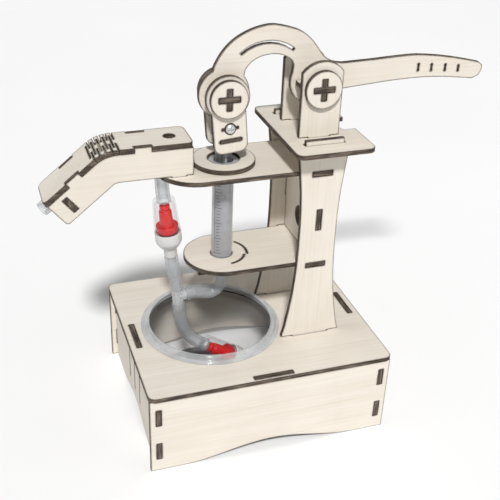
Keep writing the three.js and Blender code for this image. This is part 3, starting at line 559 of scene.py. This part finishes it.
# syringe: the barrel hangs by its flange on the upper shelf, its tip in the branch hose
SYRINGE_X = -16.65
SEAT, FLANGE_R, FLANGE_T = 185.9, 9.9, 1.8
BARREL_R, BARREL_BORE, TIP_BORE, TIP_END = 7.03, 6.2, 1.2, 101
on_syringe = Matrix.Translation(at(SYRINGE_X, 0, 0))
barrel_profile = softened([
    (TIP_BORE, TIP_END), (2.3, TIP_END), (2.6, 113), (BARREL_R - 1, 113.4), (BARREL_R, 114.4),
    (BARREL_R, SEAT), (FLANGE_R, SEAT), (FLANGE_R, SEAT + FLANGE_T), (BARREL_BORE, SEAT + FLANGE_T),
    (BARREL_BORE, 115.2), (BARREL_BORE - 1, 114.4), (TIP_BORE, 114.2),
], 0.5)
add_piece("syringe_barrel_clear", revolved("syringe_barrel_clear", barrel_profile, 64, on_syringe),
          "stand", [BARREL], ["syringe_barrel"])
SEAL_Z, SEAL_R, SEAL_GROOVE = 119, 5.9, 0.7
seal_profile = softened([
    (0, SEAL_Z), (1.5, SEAL_Z), (SEAL_R - 0.4, SEAL_Z + 1.3), (SEAL_R, SEAL_Z + 1.8),
    (SEAL_R, SEAL_Z + 2.6), (SEAL_R - SEAL_GROOVE, SEAL_Z + 3.2),
    (SEAL_R - SEAL_GROOVE, SEAL_Z + 4.6), (SEAL_R, SEAL_Z + 5.2), (SEAL_R, SEAL_Z + 6.4),
    (0, SEAL_Z + 6.4),
], 0.35)
add_piece("plunger_seal_rubber", revolved("plunger_seal_rubber", seal_profile, 48, on_syringe),
          "plunger", [RUBBER], ["plunger_seal"])

# The generic volume marks: a line up the barrel with short ticks, and each fifth one long.
MARKS_LIFT = 0.03  # off the barrel, mm
MARKS_FACE = math.radians(-130)  # the side of the barrel that they are printed on
TICKS = {"count": 26, "first": 122, "pitch": 2.25, "height": 0.38, "long_each": 5}
LONG_TICK, SHORT_TICK = 40, 22  # degrees round the barrel
MARKS_LINE = (121, 180.5)
LINE_END, LINE_WIDTH = -LONG_TICK / 2 - 0.5, 2.5  # degrees


def add_graduations():
    """Generic volume marks printed on the barrel: a line with long and short ticks."""
    radius = BARREL_R + MARKS_LIFT
    work = bmesh.new()

    def patch(low_z, high_z, start, end, steps=4):
        """A patch of print between two heights, from `start` to `end` degrees."""
        rows = []
        for z in (low_z, high_z):
            row = []
            for i in range(steps + 1):
                angle = MARKS_FACE + math.radians(start + (end - start) * i / steps)
                row.append(work.verts.new(at(SYRINGE_X + radius * math.cos(angle),
                                             radius * math.sin(angle), z)))
            rows.append(row)
        for i in range(steps):
            work.faces.new((rows[0][i], rows[0][i + 1], rows[1][i + 1], rows[1][i]))

    for tick in range(TICKS["count"]):
        z = TICKS["first"] + tick * TICKS["pitch"]
        half = (LONG_TICK if tick % TICKS["long_each"] == 0 else SHORT_TICK) / 2
        patch(z, z + TICKS["height"], -half, half)
    patch(*MARKS_LINE, LINE_END - LINE_WIDTH, LINE_END, 1)
    mesh = bpy.data.meshes.new("barrel_graduations")
    work.to_mesh(mesh)
    work.free()
    add_piece("barrel_graduations", mesh, "stand", [INK])


add_graduations()


# check valves: profiles from the foot of the cup, along the valve's axis
VALVE_BORE, BARB_R, CUP_R = 1.7, 2.9, 8.8
VALVE_BASE = softened([
    (VALVE_BORE, -12), (2.4, -12), (BARB_R, -10.8), (BARB_R, -8), (4.2, -8), (4.5, -1), (5.5, -0.6),
    (6.6, 0.4), (8.6, 3.6), (CUP_R, 5), (CUP_R, 11), (7.6, 11), (7.6, 9), (VALVE_BORE, 9),
], 0.6)
VALVE_POPPET = softened([
    (0, 9.3), (5, 9.3), (7, 11.6), (7.4, 16), (6.8, 16.2), (4.7, 15.4), (4.1, 26.4), (3, 26.8),
    (3, 27.8), (3.5, 28.2), (3.3, 30.6), (0, 30.6),
], 0.4)
VALVE_HOUSING = softened([
    (7.9, 11.3), (8.7, 11.3), (8.7, 14), (7.7, 31), (7.4, 34), (6.4, 35), (4.9, 35), (4.9, 32.5),
    (6.7, 31.4), (7.9, 14),
], 0.5)
VALVE_PARTS = (  # node, look, profile, sides, slot, material
    ("base", "white", VALVE_BASE, 56, "valve_white", WHITE),
    ("poppet", "red", VALVE_POPPET, 48, "valve_red", RED),
    ("housing", "clear", VALVE_HOUSING, 56, "valve_clear", HOUSING),
)
DELIVERY = (-52.5, 130, math.radians(-5.9))  # x and z of the cup's foot, and the lean
SUCTION = (0.4, 24.6, math.radians(-55))
for valve_number, valve_stand in enumerate((DELIVERY, SUCTION), 1):
    for valve_part, look, valve_profile, sides, valve_slot, valve_material in VALVE_PARTS:
        valve_node = f"valve_{valve_number}_{valve_part}"
        valve_name = f"{valve_node}_{look}"
        add_piece(valve_name, revolved(valve_name, valve_profile, sides, leaning(*valve_stand)),
                  "stand", [valve_material], [valve_node])


# ---------------------------------------------------------------- hoses
HOSE_R, HOSE_BORE = 4.6, 3.2
HOSE_CORNER, BORE_CORNER = 0.25, 0.15  # how far the cut end's corners are rounded off


def leaning_point(part, up, out=0.0):
    """A point in a leaning part: `up` along its axis and `out` square to it, as (x, z) in mm."""
    x, z, lean = part
    c, s = math.cos(lean), math.sin(lean)
    return x + up * s + out * c, z + up * c - out * s


def curve_points(points, per=8):
    """Centripetal Catmull-Rom points through (x, z) stations."""
    stations = [Vector(p) for p in points]
    stations.insert(0, stations[0] * 2 - stations[1])
    stations.append(stations[-1] * 2 - stations[-2])
    result = []
    for a, b, c, d in zip(stations, stations[1:], stations[2:], stations[3:]):
        t0 = 0.0
        t1 = t0 + math.sqrt((b - a).length)
        t2 = t1 + math.sqrt((c - b).length)
        t3 = t2 + math.sqrt((d - c).length)
        for k in range(per):
            t = t1 + (t2 - t1) * k / per
            a1 = a * ((t1 - t) / (t1 - t0)) + b * ((t - t0) / (t1 - t0))
            a2 = b * ((t2 - t) / (t2 - t1)) + c * ((t - t1) / (t2 - t1))
            a3 = c * ((t3 - t) / (t3 - t2)) + d * ((t - t2) / (t3 - t2))
            b1 = a1 * ((t2 - t) / (t2 - t0)) + a2 * ((t - t0) / (t2 - t0))
            b2 = a2 * ((t3 - t) / (t3 - t1)) + a3 * ((t - t1) / (t3 - t1))
            result.append(b1 * ((t2 - t) / (t2 - t1)) + b2 * ((t - t1) / (t2 - t1)))
    result.append(stations[-2])
    return result


def add_hose(node, points, sides=28):
    """A hose with a real wall and slightly rounded ends, along its route in the middle plane."""
    line = curve_points(points)
    work = bmesh.new()

    def ring(i, radius, slide=0.0):
        """A ring of vertices square to the line at its point i, moved `slide` along it."""
        ahead = line[min(i + 1, len(line) - 1)] - line[max(i - 1, 0)]
        ahead.normalize()
        centre = line[i] + ahead * slide
        square = Vector((ahead.y, -ahead.x))
        verts = []
        for k in range(sides):
            angle = 2 * math.pi * k / sides
            offset = square * (radius * math.cos(angle))
            verts.append(work.verts.new(at(centre.x + offset.x, radius * math.sin(angle),
                                           centre.y + offset.y)))
        return verts

    last = len(line) - 1
    rings = [ring(0, HOSE_BORE + BORE_CORNER), ring(0, HOSE_R - HOSE_CORNER),
             ring(0, HOSE_R, HOSE_CORNER)]
    rings += [ring(i, HOSE_R) for i in range(1, last)]
    rings += [ring(last, HOSE_R, -HOSE_CORNER), ring(last, HOSE_R - HOSE_CORNER),
              ring(last, HOSE_BORE + BORE_CORNER)]
    rings += [ring(i, HOSE_BORE) for i in range(last - 1, 0, -1)]
    for i, first in enumerate(rings):
        second = rings[(i + 1) % len(rings)]
        for k in range(sides):
            n = (k + 1) % sides
            work.faces.new((first[k], first[n], second[n], second[k]))
    bmesh.ops.recalc_face_normals(work, faces=work.faces)
    for face in work.faces:
        face.smooth = True
    mesh = bpy.data.meshes.new(node + "_clear")
    work.to_mesh(mesh)
    work.free()
    mesh.set_sharp_from_angle(angle=math.radians(60))
    add_piece(node + "_clear", mesh, "stand", [HOSE], [node])


TEE = (-47.4, 89.6, math.radians(-5))
TEE_ARM, HOSE_START = 12.5, 6.1  # from the tee's middle: its barb's tip, and the hose's end
VALVE_HOSE_END, VALVE_COLLAR = 33, -8  # along the valve's axis
NOZZLE_DEPTH, NOZZLE_END = 8, 45.6  # under the spout's strip, and along its slope


def bend_point(turn, deep):
    """A point `deep` under the strip's upper face, after `turn` of its bend, as (x, z) in mm."""
    out = SPOUT["radius"] - deep
    centre_z = SPOUT["top"] - SPOUT["radius"]
    return SPOUT["bend_x"] - out * math.sin(turn), centre_z + out * math.cos(turn)


def sloped_point(along, deep):
    """A point `deep` under the strip's slope, `along` it from the bend's end."""
    x, z = bend_point(SPOUT["bend"], deep)
    return x - along * math.cos(SPOUT["bend"]), z - along * math.sin(SPOUT["bend"])


add_hose("riser_hose", [
    leaning_point(TEE, HOSE_START), leaning_point(TEE, TEE_ARM), (-49.6, 109),
    leaning_point(DELIVERY, -14), leaning_point(DELIVERY, VALVE_COLLAR - 0.3),
])
add_hose("suction_hose", [
    leaning_point(TEE, -HOSE_START), leaning_point(TEE, -TEE_ARM), (-45.3, 70), (-42.6, 61),
    (-37.4, 52.6), leaning_point(SUCTION, VALVE_HOSE_END + 3.5),
    leaning_point(SUCTION, VALVE_HOSE_END),
])
add_hose("branch_hose", [
    leaning_point(TEE, 0, HOSE_START), leaning_point(TEE, 0, TEE_ARM), (-29.4, 89.7),
    (-24.4, 89.2), (-20.2, 91), (-17.6, 95.2), (SYRINGE_X, 101.6), (SYRINGE_X, 112.7),
])
add_hose("delivery_hose", [
    leaning_point(DELIVERY, VALVE_HOSE_END), leaning_point(DELIVERY, VALVE_HOSE_END + 9),
    (-57.2, 180), (-58.4, 188), (-62, 194.6), (-68, 198.6), (-75, 199.4), (-81, 199.4),
    bend_point(0, NOZZLE_DEPTH), bend_point(SPOUT["bend"] / 2, NOZZLE_DEPTH),
    bend_point(SPOUT["bend"], NOZZLE_DEPTH), sloped_point(10, NOZZLE_DEPTH),
    sloped_point(28, NOZZLE_DEPTH), sloped_point(NOZZLE_END, NOZZLE_DEPTH),
])


# ---------------------------------------------------------------- small CAD pieces, finer
def add_fine(node, material, bevel):
    """A small CAD piece's own shape with smooth round faces and its edges bevelled, in mm."""
    work = cleaned_copy(node)
    for face in work.faces:
        face.smooth = True
    mesh = bpy.data.meshes.new(node + "_fine")
    work.to_mesh(mesh)
    work.free()
    mesh.set_sharp_from_angle(angle=math.radians(35))
    piece = add_piece(node + "_fine", mesh, body_of(node), [material], [node])
    add_bevel(piece, bevel, segments=2)


add_fine("tee_fitting", FITTING, 0.25)
add_fine("plunger_rod", ROD, 0.15)
add_fine("clevis_screw", STEEL, 0.12)
add_fine("clevis_nut", STEEL, 0.15)

# The clevis leans with the pin as its origin; its front face and screw are given from there.
CLEVIS_PIN = (-17.6, 231.9)
CLEVIS_LEAN = math.radians(-5)
CLEVIS_FACE_Y, SCREW_DROP = -10.0, 19.7
RING_INNER, RING_OUTER, RING_HEIGHT, RING_LIFT = 3.15, 3.9, 0.28, 0.02


def add_screw_ring():
    """The burnt ring of wood round the clevis screw's head."""
    ring = softened([(RING_INNER, RING_LIFT), (RING_OUTER, RING_LIFT), (RING_OUTER, RING_HEIGHT),
                     (RING_INNER, RING_HEIGHT)], 0.12)
    place = (Matrix.Translation(at(CLEVIS_PIN[0], 0, CLEVIS_PIN[1]))
             @ Matrix.Rotation(CLEVIS_LEAN, 4, "Y")
             @ Matrix.Translation((0, CLEVIS_FACE_Y * MM, -SCREW_DROP * MM))
             @ Matrix.Rotation(math.radians(90), 4, "X"))
    add_piece("clevis_screw_char_ring", revolved("clevis_screw_char_ring", ring, 40, place),
              "clevis", [CHAR])


add_screw_ring()

# ---------------------------------------------------------------- floor and light
FLOOR_REACH = 6.0  # metres
PAPER_TONES = [(0.3, (0.84, 0.84, 0.84)), (0.7, (0.86, 0.86, 0.86))]
AMBIENT = 0.34
AIM = at(0, 0, 110)
LAMPS = (  # name, kind, where it stands from AIM, size (an angle for a sun), strength
    ("key", "SUN", (-0.3, -0.95, 1.12), math.radians(6), 3.2),
    ("fill", "AREA", (1.1, -0.7, 0.6), 0.9, 2.0),
)


def add_floor():
    """A wide floor of pale paper."""
    work = bmesh.new()
    bmesh.ops.create_grid(work, x_segments=2, y_segments=2, size=FLOOR_REACH)
    mesh = bpy.data.meshes.new("floor")
    work.to_mesh(mesh)
    work.free()
    floor = bpy.data.objects.new("floor", mesh)
    bpy.context.scene.collection.objects.link(floor)
    s = Shader("floor_paper", Roughness=0.9)
    tone = s.noise(even(3), detail=2)
    s.link(s.ramp(tone, PAPER_TONES), s.surface.inputs["Base Color"])
    mesh.materials.append(s.material)


def add_light():
    """A white world, a soft key like the photograph's and a weak fill from the right."""
    world = bpy.data.worlds.new("studio")
    world.use_nodes = True
    background = world.node_tree.nodes["Background"]
    background.inputs["Color"].default_value = (1.0, 1.0, 1.0, 1)
    background.inputs["Strength"].default_value = AMBIENT
    bpy.context.scene.world = world
    for name, kind, offset, size, strength in LAMPS:
        data = bpy.data.lights.new(name, kind)
        data.energy = strength
        if kind == "SUN":
            data.angle = size
        else:
            data.size = size
        lamp = bpy.data.objects.new(name, data)
        bpy.context.scene.collection.objects.link(lamp)
        lamp.location = AIM + Vector(offset)
        lamp.rotation_mode = "QUATERNION"
        lamp.rotation_quaternion = (AIM - lamp.location).to_track_quat("-Z", "Y")


add_floor()
add_light()
bpy.context.scene.view_settings.view_transform = "Standard"
